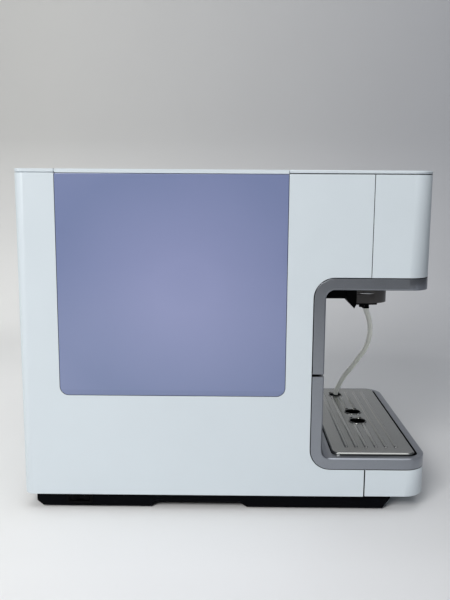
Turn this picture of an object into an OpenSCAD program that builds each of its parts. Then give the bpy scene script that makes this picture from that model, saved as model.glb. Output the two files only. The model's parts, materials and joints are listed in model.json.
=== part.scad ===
// Countertop bean-to-cup coffee machine, in millimetres.
// +Z is up, the cup bay faces -Y, and the origin lies under the middle of the case,
// on the surface it stands on.

/* [Case] */
// Width across the side panels
case_w = 286; // [280:2:350]
// Depth from the front of the tray to the rear panel
total_d = 455; // [450:5:560]
// Height to the top of the covers
total_h = 381; // [375:3:460]
// How far the upper front stands behind the front of the tray
front_setback = 5; // [2:1:10]
// Radius of the vertical front edges
front_r = 25; // [20:1:30]
// Radius of the vertical rear edges
rear_r = 11; // [8:1:14]
// Wall of the moulded covers
wall = 3; // [2.4:0.2:3.6]
// Shadow gap between neighbouring covers
seam = 0.6; // [0.4:0.1:0.8]
// Thickness of the fixed top covers
top_t = 3.5; // [3:0.5:4.5]
// Thickness of the hinged top lid
lid_t = 4.2; // [4:0.1:4.5]
// Length of the front covers, back from the tray front
cover_len = 70.9; // [60:1:85]

/* [Base] */
// Height of the black base, feet included
base_h = 17.8; // [15:0.2:22]
// How far the base stands in from the side panels
base_inset = 6; // [4:1:10]
// How far the base ends ahead of the rear panel
base_rear = 13; // [8:1:20]
// How far the base starts behind the tray front
base_front = 38.5; // [30:1:50]
// Thickness of the rubber feet
foot_h = 1.8; // [1.5:0.1:3]
// Radius of the rubber feet
foot_r = 13; // [9:1:15]
// Height of the arch between the front and rear blocks
arch_h = 7.3; // [5:0.5:9]
// Length of the rear block of the base
rear_block = 130; // [110:5:150]
// Length of the arch
arch_len = 105; // [80:5:120]

/* [Cup bay] */
// Depth of the cup bay from the tray front
bay_depth = 119.2; // [110:1:128]
// Height of the tray rim above the lower edge of the covers
tray_h = 45.2; // [42.2:0.2:52.2]
// Clear height from the tray rim to the bay ceiling
bay_h = 190.2; // [180:1:200]
// Radius of the inner corners of the bay
bay_r = 9.3; // [6:0.1:14]
// Width of the grey trim round the bay
trim_w = 12.8; // [10:0.2:18]
// Height of the trim under the tray rim
sill_h = 12.7; // [10:0.1:15]
// Gap between the trim and the white covers
trim_gap = 0.9; // [0.4:0.1:1.2]
// Height of the split between the fixed trim and the tray, above the tray rim
split_h = 95.2; // [87:0.2:107]
// Gap at that split
split_gap = 2.8; // [1:0.2:4]
// Thickness of the trim frame at each side
trim_t = 6; // [5:0.5:8]
// Chamfer on the trim's inner edge, at the sides
trim_chamfer = 1.3; // [0.5:0.1:2]

/* [Side openings] */
// Length of the tank opening and of the door opening
window_len = 249.5; // [220:1:252]
// Distance from the rear panel to these openings
window_rear = 44; // [42:1:60]
// Height from the base to the bottom of these openings
window_sill = 115.9; // [112:1:125]
// Radius of their bottom corners
window_r = 10; // [6:1:16]

/* [Water tank] */
// Depth of the tank in from the outer face
tank_w = 68.5; // [55:0.5:69]
// Wall of the tank
tank_wall = 2.5; // [2:0.1:3]
// Bore radius of the tank's outlet
port_r = 5.05; // [4:0.05:6]
// Radial clearance in running fits
fit = 0.05; // [0.02:0.01:0.1]

/* [Drip tray] */
// Gap between the tray's white cover and the side panels
tray_seam = 1.3; // [0.4:0.1:1.4]
// Depth of the basin under the rim
basin_d = 41; // [30:1:42]
// Clearance round the grid
grid_gap = 1; // [0.6:0.1:2]
// Gap between the grid and the front of the rim
grid_front_gap = 3.3; // [1:0.1:4]
// How far the grid stands above the rim
grid_rise = 2.6; // [1:0.1:4]
// Plate thickness of the grid
grid_t = 1.5; // [1:0.1:2]
// Corner radius of the grid
grid_r = 9; // [6:1:14]
// Spacing of the ribs on the grid
rib_pitch = 11.5; // [10:0.5:13]
// Radius of the two drain holes
drain_r = 10; // [8:0.5:11]
// Radius of the hole for the milk hose
hose_hole_r = 8.75; // [6:0.25:9]
// Height of the grounds container
grounds_h = 60; // [40:1:61]
// Length of the grounds container
grounds_len = 124; // [90:1:130]

/* [Spout] */
// Half width of the spout
spout_hw = 31; // [26:1:34]
// Length of the spout, front to back
spout_len = 40.8; // [38:0.5:46]
// Distance between the two coffee nozzles
nozzle_pitch = 38; // [30:1:40]
// Height of the spout above the tray rim, at its highest
spout_clear = 158.2; // [150:1:162]
// Outer diameter of the milk hose
hose_d = 6.5; // [5:0.5:8]

/* [Grinder and hopper] */
// Radius of the grinder housing
grinder_r = 40; // [36:1:42]
// Radius of the burr chamber
chamber_r = 30; // [26:1:32]
// Height of the grinder motor
motor_h = 83; // [70:1:86]
// Wall of the bean hopper
hopper_wall = 2.5; // [2:0.1:3]

/* [Brew unit] */
// Bore radius of the brew cylinder
brew_r = 22; // [20:0.5:23]
// Stroke of the brew piston
brew_stroke = 26; // [20:1:26]
// Radius of the brew spindle
spindle_r = 5; // [4:0.5:6]

/* [Hidden] */
$fn = 64;
eps = 0.01;
far = 600;

// Case planes
side_x = case_w / 2;
in_x = side_x - wall;
rear_y = total_d / 2;
front_y = -total_d / 2;
upper_front_y = front_y + front_setback;
seam_y = front_y + cover_len;
cover_z = total_h - top_t;
groove = 0.8;
panel_top_z = total_h - lid_t - 0.5;

// Cup bay
bay_floor_z = base_h + tray_h;
split_z = bay_floor_z + split_h;
bay_back_y = front_y + bay_depth;
bay_ceiling_z = bay_floor_z + bay_h;
trim_back_y = bay_back_y + trim_w;
lining_t = 3;
lining_x = side_x - trim_t;
upper_trim_z = split_z + split_gap / 2;
tray_top_z = split_z - split_gap / 2;

// Openings for the tank and the door
window_y1 = rear_y - window_rear;
window_y0 = window_y1 - window_len;
window_z0 = base_h + window_sill;
split_front_y = window_y0;

// Hinges: the round edge of the lid or the door is the barrel, and the fixed cover has the knuckles
barrel_r = lid_t / 2;
hinge_y = window_y1 - seam / 2 - barrel_r;
lid_axis_z = total_h - barrel_r;
door_axis_x = side_x - barrel_r;
door_t = lid_t;
knuckle_w = 12;
knuckle_gap = 0.4;
pin_r = 1;
pin_len = 32;
lid_knuckles = [-side_x + 50, side_x - 50];
door_knuckles = [window_z0 + 50, panel_top_z - 50];

// Chassis
sheet = 1.5;
floor_z = base_h + sheet;
deck_z = window_z0 - 2.7;
divider_x = -side_x + tank_w + 3;
bulkhead_y = window_y0 - 26;
shelf_x0 = divider_x + 5.5;
shelf_x1 = in_x - 14;

rail_x = in_x - 12;
arm_x = in_x - 10;
boiler_y = window_y1 - 38;

// Rear panel, its screws, and the fan and power inlet behind it
rear_corner = 30;
screw_x = in_x - 35;
screw_zs = [base_h + 14, panel_top_z - 14];
fan_x = 62;
fan_z = deck_z + 165;
fan_w = 80;
fan_depth = 25;
fan_y1 = rear_y - wall;
fan_y0 = fan_y1 - fan_depth;
inlet_x = divider_x + 36;
inlet_z = base_h + 42;

// Display in the upper front
glass_x = 82;
glass_z0 = bay_ceiling_z + 38;
glass_z1 = panel_top_z - 16;
board_y = upper_front_y + 8.5;

// Water tank and the spigot it slides onto
tank_x0 = -in_x;
tank_x1 = -side_x + tank_w;
tank_top_z = panel_top_z - 4.3;
dock_y = window_y1 - 45;
dock_z = window_z0 + 17;
spigot_r = port_r - fit;

// Base
base_x = side_x - base_inset;
base_y0 = front_y + base_front;
base_y1 = rear_y - base_rear;
arch_y1 = base_y1 - rear_block;
arch_y0 = arch_y1 - arch_len;
foot_x = base_x - foot_r - 6;
feet_y = [base_y1 - 25, arch_y1 + 20, base_y0 + 64, base_y0 + 21];
switch_y = base_y1 - 48.5;
switch_z = base_h - 6.9;
switch_len = 27;
switch_h = 10.4;
rocker_x = -base_x + 6;

// Drip tray
rim_x = side_x - 9.5;
basin_y0 = front_y + 7.7;
basin_y1 = bay_back_y - 12.7;
basin_z0 = bay_floor_z - basin_d;
ledge_z = bay_floor_z - 1.6;
grid_top_z = bay_floor_z + grid_rise;
grid_x = rim_x - grid_gap;
grid_y0 = basin_y0 + grid_front_gap;
tray_cover_y1 = seam_y + seam / 2 - tray_seam;
grid_y1 = basin_y1 - grid_gap;
grid_y = (grid_y0 + grid_y1) / 2;
rib_x = grid_x - 20.5;
nozzle_y = grid_y - 0.7;
hose_hole_x = 98;
hose_hole_y = grid_y + 11.3;
grounds_y0 = bay_back_y + 14;

// Spout
spout_z0 = bay_floor_z + spout_clear;
spout_z1 = bay_ceiling_z - 0.5;
spout_y1 = nozzle_y + 8.8;
spout_y0 = spout_y1 - spout_len;
hood_y1 = spout_y1 + 13;
stem_x = 16;
stem_y0 = spout_y0 + 13;
stem_y1 = spout_y1 - 10;
stem_top_z = spout_z1 + 88;

// Grinder stack, on the deck
grinder_x = 0;
grinder_y = window_y0 + 80;
motor_top_z = deck_z + motor_h;
grinder_top_z = motor_top_z + 58;
chamber_z0 = motor_top_z + 10;
chamber_z1 = grinder_top_z - 8;
chute_z0 = chamber_z0;
chute_z1 = chamber_z0 + 16;
throat_r = 22;
funnel_r = 58;
funnel_h = 26;
funnel_top_z = grinder_top_z + funnel_h;
hopper_x0 = divider_x + 5;
hopper_x1 = 62;
hopper_y0 = window_y0 + 6;
hopper_y1 = hopper_y0 + 148;
hopper_top_z = panel_top_z + 0.1;

// Brew unit, on the deck
brew_x = in_x - 38;
brew_y = grinder_y - 26;
spindle_y = brew_y + 54;
brew_z0 = deck_z + 45;
brew_z1 = deck_z + 91;
brew_plate_t = 5;
brew_hx = 30;

// Milk hose: its route from the spout down to the hole in the grid
hose_route = [[8, -180, 209], [8, -181, 205], [10, -185, 196], [15, -188, 184], [23, -190, 172],
  [33, -190, 159], [45, -188, 145], [58, -183, 132], [71, -178, 117], [83, -171, 103],
  [91, -166, 91], [96, -162, 80], [98, -159, 72], [98, -158, 66.4]];
barb_x = hose_route[0][0];
barb_y = hose_route[0][1];

module box(lo, hi) {
  translate(lo) cube([hi[0] - lo[0], hi[1] - lo[1], hi[2] - lo[2]]);
}

module upright(z0, z1) {
  translate([0, 0, z0]) linear_extrude(z1 - z0) children();
}

// Extrudes an outline drawn in (Y, Z) from x0 to x1
module along_x(x0, x1) {
  translate([x0, 0, 0]) rotate([90, 0, 90]) linear_extrude(x1 - x0) children();
}

module rod_x(x0, x1, y, z, r) {
  translate([x0, y, z]) rotate([0, 90, 0]) cylinder(h = x1 - x0, r = r);
}

module rod_y(y0, y1, x, z, r) {
  translate([x, y1, z]) rotate([90, 0, 0]) cylinder(h = y1 - y0, r = r);
}

module rod_z(z0, z1, x, y, r) {
  translate([x, y, z0]) cylinder(h = z1 - z0, r = r);
}

// Rectangle with round corners, between two opposite corners
module round_rect(lo, hi, r) {
  translate([lo[0] + r, lo[1]]) square([hi[0] - lo[0] - 2 * r, hi[1] - lo[1]]);
  translate([lo[0], lo[1] + r]) square([hi[0] - lo[0], hi[1] - lo[1] - 2 * r]);
  for (x = [lo[0] + r, hi[0] - r], y = [lo[1] + r, hi[1] - r])
    translate([x, y]) circle(r);
}

// Plan outline of the case, drawn in by inset, with its front at front
module plan(inset, front) {
  x = side_x - inset;
  y0 = front + inset;
  y1 = rear_y - inset;
  rf = front_r - inset;
  rr = rear_r - inset;
  translate([-x, y0 + rf]) square([2 * x, y1 - y0 - rf - rr]);
  translate([-x + rf, y0]) square([2 * (x - rf), rf + eps]);
  translate([-x + rr, y1 - rr - eps]) square([2 * (x - rr), rr + eps]);
  for (s = [-1, 1]) {
    translate([s * (x - rf), y0 + rf]) circle(rf);
    translate([s * (x - rr), y1 - rr]) circle(rr);
  }
}

// Wall of the case seen in plan, t thick
module plan_wall(t, front) {
  difference() {
    plan(0, front);
    plan(t, front);
  }
}

// Side outline of the cup bay, grown by up at the back and the ceiling and by down at the floor
module bay(up, down) {
  r = bay_r + up;
  y1 = bay_back_y + up;
  z0 = bay_floor_z - down;
  z1 = bay_ceiling_z + up;
  translate([-far, z0]) square([far + y1 - r, z1 - z0]);
  translate([y1 - r - eps, z0 + r]) square([r + eps, z1 - z0 - 2 * r]);
  for (z = [z0 + r, z1 - r])
    translate([y1 - r, z]) circle(r);
}

module bay_band(up, down) {
  difference() {
    bay(up, down);
    bay(0, 0);
  }
}

// What the chamfer takes from the bay's edge on side s: the bay's outline, growing outwards
module bay_chamfer(s) {
  c = trim_chamfer;
  y1 = bay_back_y;
  z0 = bay_floor_z;
  z1 = bay_ceiling_z;
  yr = y1 - bay_r;
  xa = s * (side_x - c);
  xb = s * (side_x + c);
  translate([0, yr, 0]) rotate([90, 0, 0]) linear_extrude(far)
    polygon([[xa, z0], [xb, z0 - 2 * c], [xb, z1 + 2 * c], [xa, z1]]);
  upright(z0 + bay_r, z1 - bay_r)
    polygon([[xa, yr - eps], [xa, y1], [xb, y1 + 2 * c], [xb, yr - eps]]);
  for (z = [z0 + bay_r, z1 - bay_r])
    translate([xa, yr, z]) rotate([0, s * 90, 0]) cylinder(h = 2 * c, r1 = bay_r, r2 = bay_r + 2 * c);
}

// Grey band round the bay, between z0 and z1, on the case whose front is at front
module trim_band(z0, z1, front) {
  difference() {
    intersection() {
      along_x(-far, far) bay_band(trim_w, sill_h);
      upright(z0, z1) plan_wall(trim_t, front);
    }
    bay_chamfer(-1);
    bay_chamfer(1);
  }
}

// Side outline of a side opening or of what closes it, drawn in by inset up to top.
// A hinged one has a square corner under its hinge.
module window(inset, top, hinged = false) {
  y0 = window_y0 + inset;
  y1 = window_y1 - inset;
  z0 = window_z0 + inset;
  r = window_r - inset;
  translate([y0, z0 + r]) square([y1 - y0, top - z0 - r]);
  translate([y0 + r, z0]) square([y1 - y0 - 2 * r, r + eps]);
  for (y = [y0 + r, y1 - r])
    translate([y, z0 + r]) circle(r);
  if (hinged)
    translate([y1 - r, z0]) square([r, r + eps]);
}

// Half space between two Y planes
module y_slab(y0, y1) {
  box([-far, y0, -far], [far, y1, far]);
}

// Outline of the base seen from the side
module base_outline() {
  polygon([[base_y0, base_h], [base_y0 + 1, base_h - 4.4], [base_y0 + 9.5, foot_h], [arch_y0 - 4, foot_h],
    [arch_y0 + 4, arch_h], [arch_y1 - 4, arch_h], [arch_y1, foot_h], [base_y1 - 7, foot_h],
    [base_y1, base_h - 10.3], [base_y1, base_h]]);
}

module base_pan() {
  rib = 3;
  x = base_x - rib;
  color("#17181b") difference() {
    along_x(-base_x, base_x) base_outline();
    box([-x, base_y0 + 14, foot_h + 2.5], [x, arch_y0 - 8, base_h + 1]);
    box([-x, arch_y0 - 12, arch_h + 2.5], [x, arch_y1 + 12, base_h + 1]);
    box([-x, arch_y1 + 8, foot_h + 2.5], [x, base_y1 - 10, base_h + 1]);
    box([-base_x - 1, switch_y - switch_len / 2, switch_z - switch_h / 2],
      [-x + 1, switch_y + switch_len / 2, switch_z + switch_h / 2]);
  }
}

module rubber_feet() {
  color("#232427") for (s = [-1, 1], y = feet_y) {
    rod_z(0, foot_h, s * foot_x, y, foot_r);
  }
}

// Sheet-metal frame: floor, legs, divider, deck, bulkhead, head arms and rear rails
module chassis() {
  color("#9aa0a6") difference() {
    union() {
      intersection() {
        upright(base_h, floor_z) plan(wall, front_y);
        y_slab(seam_y + 6, rear_y - wall);
      }
      intersection() {
        upright(deck_z - sheet, deck_z) plan(wall, front_y);
        y_slab(bulkhead_y, rear_y - 8);
      }
      for (s = [-1, 1]) {
        box([min(s * in_x, s * (in_x - sheet)), bulkhead_y + 4, base_h],
          [max(s * in_x, s * (in_x - sheet)), rear_y - 14, deck_z]);
        box([min(s * arm_x, s * (arm_x + sheet)), upper_front_y + 30, bay_ceiling_z + lining_t],
          [max(s * arm_x, s * (arm_x + sheet)), bulkhead_y + eps, bay_ceiling_z + 50]);
      }
      box([divider_x, bulkhead_y, base_h], [divider_x + sheet, rear_y - 4, panel_top_z - 11]);
      box([-in_x + 6, bulkhead_y, deck_z - eps], [in_x - 6, bulkhead_y + sheet, panel_top_z - 11]);
      for (x = [shelf_x0 + 2, shelf_x1 - 4])
        box([x, bulkhead_y + 4, base_h], [x + 2, grounds_y0 + grounds_len + 3, bay_floor_z - 3.3]);
      box([-rail_x, rear_y - wall - sheet, panel_top_z - 26], [rail_x, rear_y - wall, cover_z]);
      box([-rail_x, rear_y - wall - sheet, base_h], [rail_x, rear_y - wall, base_h + 27]);
      for (y = [window_y0 + 16, window_y1 - 22])
        box([-in_x + 2, y, deck_z - eps], [divider_x + eps, y + 6, window_z0 + 0.7]);
    }
    box([brew_x - 20, bulkhead_y + 8, deck_z - 5], [brew_x + 20, bulkhead_y + 36, deck_z + 5]);
    rod_x(divider_x - 1, divider_x + 5, dock_y, dock_z, 8);
    box([-30, bulkhead_y - 1, grinder_top_z + 20], [30, bulkhead_y + 5, grinder_top_z + 60]);
    for (x = [-screw_x, screw_x], z = screw_zs)
      rod_y(rear_y - 8, rear_y, x, z, 1.6);
  }
}

// Fixed half of a hinge, in line with the Z axis, with the cover that carries it on its +Y side
module knuckle() {
  reach = barrel_r + seam + 1;
  cylinder(h = knuckle_w, r = barrel_r);
  translate([-barrel_r, 0, 0]) cube([barrel_r + 1.2, reach, knuckle_w]);
}

module side_panel(s) {
  color("#dfe4ea") difference() {
    union() {
      intersection() {
        upright(base_h, cover_z) plan_wall(wall, upper_front_y);
        box([s > 0 ? side_x - rear_corner : -far, seam_y + seam / 2, 0],
          [s > 0 ? far : -side_x + rear_corner, far, far]);
      }
      if (s > 0)
        for (z = door_knuckles)
          translate([door_axis_x, hinge_y, z - knuckle_w / 2]) mirror([1, 0, 0]) knuckle();
    }
    along_x(s > 0 ? in_x - 1 : -side_x - 1, s > 0 ? side_x + 1 : -in_x + 1) difference() {
      window(0, far, s > 0);
      if (s > 0)
        for (z = door_knuckles)
          translate([hinge_y, z - knuckle_w / 2]) square([far, knuckle_w]);
    }
    along_x(-far, far) bay(trim_w + trim_gap, sill_h + trim_gap);
    intersection() {
      upright(cover_z - groove, cover_z + 1) plan_wall(wall / 2, upper_front_y);
      box([-far, seam_y, 0], [far, far, far]);
    }
    if (s > 0)
      rod_z(window_z0, panel_top_z, door_axis_x, hinge_y, pin_r);
  }
}

module left_side_panel() {
  side_panel(-1);
}

module right_side_panel() {
  side_panel(1);
}

// Rear cover with its vents, its fan grille and the recess for the power inlet
module rear_panel() {
  half = side_x - rear_corner - seam / 2;
  y0 = rear_y - wall;
  color("#d6dbe1") difference() {
    box([-half, y0, base_h + 0.3], [half, rear_y, cover_z - 0.3]);
    for (k = [-4:4]) {
      w = sqrt(36 * 36 - 64 * k * k);
      box([fan_x - w, y0 - 1, fan_z + 8 * k - 1.8], [fan_x + w, rear_y + 1, fan_z + 8 * k + 1.8]);
    }
    for (k = [0:7])
      box([-90, y0 - 1, deck_z + 105 + 10 * k], [-22, rear_y + 1, deck_z + 108.5 + 10 * k]);
    for (k = [0:5])
      box([10, y0 - 1, base_h + 40 + 10 * k], [90, rear_y + 1, base_h + 43.5 + 10 * k]);
    box([inlet_x - 25, rear_y - 1.5, inlet_z - 14], [inlet_x + 25, rear_y + 1, inlet_z + 14]);
    box([inlet_x - 15.2, y0 - 1, inlet_z - 11.2], [inlet_x + 15.2, rear_y, inlet_z + 11.2]);
    for (x = [-screw_x, screw_x], z = screw_zs) {
      rod_y(rear_y - 1.6, rear_y + 1, x, z, 4);
      rod_y(y0 - 1, rear_y, x, z, 1.7);
    }
  }
}

module panel_screws() {
  color("#b9bcc0") for (x = [-screw_x, screw_x], z = screw_zs) difference() {
    union() {
      rod_y(rear_y - 1.6, rear_y - 0.1, x, z, 3.4);
      rod_y(rear_y - 9, rear_y - 1.6 + eps, x, z, 1.5);
    }
    box([x - 2.4, rear_y - 0.8, z - 0.4], [x + 2.4, rear_y + 1, z + 0.4]);
    box([x - 0.4, rear_y - 0.8, z - 2.4], [x + 0.4, rear_y + 1, z + 2.4]);
  }
}

module rear_top_cover() {
  color("#e4e8ed") difference() {
    union() {
      intersection() {
        upright(cover_z, total_h) plan(0, upper_front_y);
        y_slab(window_y1 + seam / 2, far);
      }
      for (x = lid_knuckles)
        translate([x - knuckle_w / 2, hinge_y, lid_axis_z]) rotate([0, 90, 0]) knuckle();
    }
    for (x = lid_knuckles)
      rod_x(x - knuckle_w, x + knuckle_w, hinge_y, lid_axis_z, pin_r);
  }
}

module front_top_cover() {
  color("#e4e8ed") intersection() {
    upright(cover_z, total_h) plan(0, upper_front_y);
    y_slab(-far, split_front_y - seam / 2);
  }
}

module lid_hinge_pins() {
  color("#c3c6ca") for (x = lid_knuckles)
    rod_x(x - pin_len / 2, x + pin_len / 2, hinge_y, lid_axis_z, pin_r);
}

module door_hinge_pins() {
  color("#c3c6ca") for (z = door_knuckles)
    rod_z(z - pin_len / 2, z + pin_len / 2, door_axis_x, hinge_y, pin_r);
}

// Lid over the bean hopper and the tank, with a round barrel as its rear edge
module top_lid() {
  z0 = total_h - lid_t;
  y0 = split_front_y + seam / 2;
  notch = knuckle_w / 2 + knuckle_gap;
  color("#e7ebf0") difference() {
    along_x(-side_x, side_x) {
      translate([y0, z0]) square([hinge_y - y0, lid_t]);
      translate([hinge_y, lid_axis_z]) circle(barrel_r);
    }
    for (x = lid_knuckles) {
      box([x - notch, hinge_y - barrel_r - knuckle_gap, z0 - 5],
        [x + notch, hinge_y + 10, total_h + 5]);
      rod_x(x - pin_len / 2 - 0.5, x + pin_len / 2 + 0.5, hinge_y, lid_axis_z, pin_r + fit);
    }
  }
}

// Hinged door over the brew unit, with a round barrel as its rear edge
module service_door() {
  notch = knuckle_w / 2 + knuckle_gap;
  x0 = side_x - door_t;
  color("#8f97bb") difference() {
    union() {
      intersection() {
        along_x(x0, side_x) window(seam / 2, panel_top_z, true);
        y_slab(-far, hinge_y);
      }
      rod_z(window_z0 + seam / 2, panel_top_z, door_axis_x, hinge_y, barrel_r);
      for (y = [window_y0 + 18, hinge_y - 40])
        box([x0 - 3, y, window_z0 + 14], [x0 + eps, y + 3, panel_top_z - 12]);
    }
    for (z = door_knuckles) {
      box([x0 - 5, hinge_y - barrel_r - knuckle_gap, z - notch],
        [side_x + 5, hinge_y + 10, z + notch]);
      rod_z(z - pin_len / 2 - 0.5, z + pin_len / 2 + 0.5, door_axis_x, hinge_y, pin_r + fit);
    }
  }
}

// Wrap-round upper front with the recess for the display glass
module front_fascia() {
  color("#dfe4ea") difference() {
    union() {
      intersection() {
        upright(bay_ceiling_z, cover_z) plan_wall(wall, upper_front_y);
        y_slab(-far, seam_y - seam / 2);
      }
      for (x = [-glass_x - 6, glass_x + 6], z = [glass_z0 + 8, glass_z1 - 8])
        rod_y(upper_front_y + wall - eps, board_y, x, z, 3);
    }
    along_x(-far, far) bay(trim_w + trim_gap, sill_h);
    translate([0, upper_front_y + 2, 0]) rotate([90, 0, 0]) linear_extrude(10)
      round_rect([-glass_x, glass_z0], [glass_x, glass_z1], 8);
    box([-glass_x + 6, upper_front_y - 1, glass_z0 + 6],
      [glass_x - 6, upper_front_y + wall + 1, glass_z1 - 6]);
    upright(cover_z - groove, cover_z + 1) plan_wall(wall / 2, upper_front_y);
  }
}

module display_glass() {
  g = 0.3;
  color("#0c0d10") translate([0, upper_front_y + 2, 0]) rotate([90, 0, 0]) linear_extrude(2)
    round_rect([-glass_x + g, glass_z0 + g], [glass_x - g, glass_z1 - g], 8 - g);
}

module display_module() {
  color("#2a2d33") box([-glass_x + 10, upper_front_y + 2.2, glass_z0 + 10],
    [glass_x - 10, board_y, glass_z1 - 10]);
}

module control_board() {
  z0 = glass_z0 + 2;
  z1 = glass_z1 - 2;
  y1 = board_y + 1.6;
  color("#2c6b45") union() {
    box([-glass_x - 12, board_y, z0], [glass_x + 12, y1, z1]);
    for (x = [-70, -40, 18, 52])
      box([x, y1 - eps, z0 + 14], [x + 16, y1 + 2, z0 + 30]);
    for (x = [-80, 40])
      box([x, y1 - eps, z1 - 14], [x + 30, y1 + 8, z1 - 5]);
  }
}

// Fixed upper part of the grey trim round the bay
module upper_trim() {
  color("#6f7379") trim_band(upper_trim_z, far, upper_front_y);
}

// Back wall and ceiling of the bay, with the slot for the spout's stem
module bay_lining() {
  g = 1.2;
  color("#5d6167") difference() {
    intersection() {
      along_x(-lining_x, lining_x) bay_band(lining_t, lining_t);
      upright(upper_trim_z, far) plan(trim_t, upper_front_y);
    }
    box([-stem_x - g, stem_y0 - g, bay_ceiling_z - 10], [stem_x + g, stem_y1 + g, far]);
  }
}

// Black duct between the back wall and the spout
module spout_arm() {
  y1 = bay_back_y - 0.05;
  y0 = hood_y1 + 0.6;
  z0 = spout_z0 + 5.8;
  color("#101114") intersection() {
    box([-spout_hw, y0, z0], [spout_hw, y1 + 5, bay_ceiling_z]);
    along_x(-far, far) bay(0, 0);
  }
}

// Sleeve in the head that guides the spout's stem
module spout_guide() {
  g = 0.3;
  t = 4;
  z0 = bay_ceiling_z + lining_t;
  color("#d0d3d6") difference() {
    union() {
      box([-stem_x - g - t, stem_y0 - g - t, z0], [stem_x + g + t, stem_y1 + g + t, z0 + 44]);
      box([-stem_x - 22, stem_y0 - g - t, z0], [stem_x + 22, stem_y1 + g + t, z0 + 3]);
    }
    box([-stem_x - g, stem_y0 - g, z0 - 1], [stem_x + g, stem_y1 + g, z0 + 60]);
  }
}

// Plan outline of the spout: flat rear and sides, round front
module spout_plan(inset) {
  r = 26 - inset;
  x = spout_hw - inset;
  y0 = spout_y0 + inset;
  y1 = spout_y1 - inset;
  translate([-x, y0 + r]) square([2 * x, y1 - y0 - r]);
  translate([-x + r, y0]) square([2 * (x - r), r + eps]);
  intersection() {
    for (s = [-1, 1])
      translate([s * (x - r), y0 + r]) circle(r);
    translate([-x, y0]) square([2 * x, r + eps]);
  }
}

module spout_housing() {
  grip_r = 60;
  color("#5b5654") difference() {
    upright(spout_z0, spout_z1) spout_plan(0);
    upright(spout_z0 - 1, spout_z1 - 3) spout_plan(2.5);
    for (s = [-1, 1])
      translate([s * (spout_hw + grip_r - 0.2), spout_y0 + 28.5, spout_z0 + 12.4])
        rotate_extrude() translate([grip_r, 0]) circle(1.5);
  }
}

// Black rear of the spout, with the wedge under it
module spout_hood() {
  color("#0f1012") along_x(-spout_hw, spout_hw)
    polygon([[hood_y1, spout_z1], [hood_y1, spout_z0 + 5.3], [hood_y1 - 10.5, spout_z0 - 6.7],
      [spout_y1, spout_z0 - 1.9], [spout_y1, spout_z1]]);
}

// Hollow stem that carries the spout and slides in the guide
module spout_stem() {
  t = 2.5;
  color("#c8cbce") difference() {
    box([-stem_x, stem_y0, spout_z1], [stem_x, stem_y1, stem_top_z]);
    box([-stem_x + t, stem_y0 + t, spout_z1 + t], [stem_x - t, stem_y1 - t, stem_top_z + 1]);
  }
}

// Black bottom plate of the spout with its two coffee nozzles
module spout_nozzles() {
  z1 = spout_z0;
  z0 = z1 - 1.9;
  color("#131417") difference() {
    union() {
      intersection() {
        upright(z0, z1) spout_plan(0.6);
        y_slab(spout_y1 - 26, far);
      }
      for (s = [-1, 1]) {
        rod_z(z0 - 4.4, z1, s * nozzle_pitch / 2, nozzle_y, 3.6);
        rod_z(z1 - eps, z1 + 18, s * nozzle_pitch / 2, nozzle_y, 5);
      }
    }
    for (s = [-1, 1])
      rod_z(z0 - 6, z1 + 20, s * nozzle_pitch / 2, nozzle_y, 2.2);
  }
}

module milk_barb() {
  z0 = hose_route[0][2];
  color("#c9ccd0") difference() {
    union() {
      rod_z(z0 + 0.01, spout_z0 - 1.9, barb_x, barb_y, hose_d / 2 + 0.9);
      rod_z(z0 + 0.01, z0 + 2, barb_x, barb_y, hose_d / 2 + 1.3);
    }
    rod_z(z0 - 1, z0 + 4, barb_x, barb_y, hose_d / 2 - 1.2);
  }
}

function unit(v) = v / norm(v);
function hose_dir(k) =
  k == 0 ? unit(hose_route[1] - hose_route[0]) :
  k == len(hose_route) - 1 ? unit(hose_route[k] - hose_route[k - 1]) :
  unit(unit(hose_route[k] - hose_route[k - 1]) + unit(hose_route[k + 1] - hose_route[k]));
function hose_ring(k, sides) =
  let (d = k == 0 || k == len(hose_route) - 1 ? [0, 0, -1] : hose_dir(k),
    u = unit(cross(d, [0, 1, 0])), w = cross(d, u))
  [for (i = [0:sides - 1]) hose_route[k]
    + hose_d / 2 * (cos(360 * i / sides) * u + sin(360 * i / sides) * w)];

module milk_hose() {
  sides = 12;
  rings = len(hose_route);
  color("#d9dbd3", 0.8) polyhedron(
    points = [for (k = [0:rings - 1]) each hose_ring(k, sides)],
    faces = concat(
      [[for (i = [0:sides - 1]) i]],
      [[for (i = [sides - 1:-1:0]) (rings - 1) * sides + i]],
      [for (k = [0:rings - 2], i = [0:sides - 1])
        [k * sides + (i + 1) % sides, k * sides + i,
          (k + 1) * sides + i, (k + 1) * sides + (i + 1) % sides]]),
    convexity = 6);
}

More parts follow.
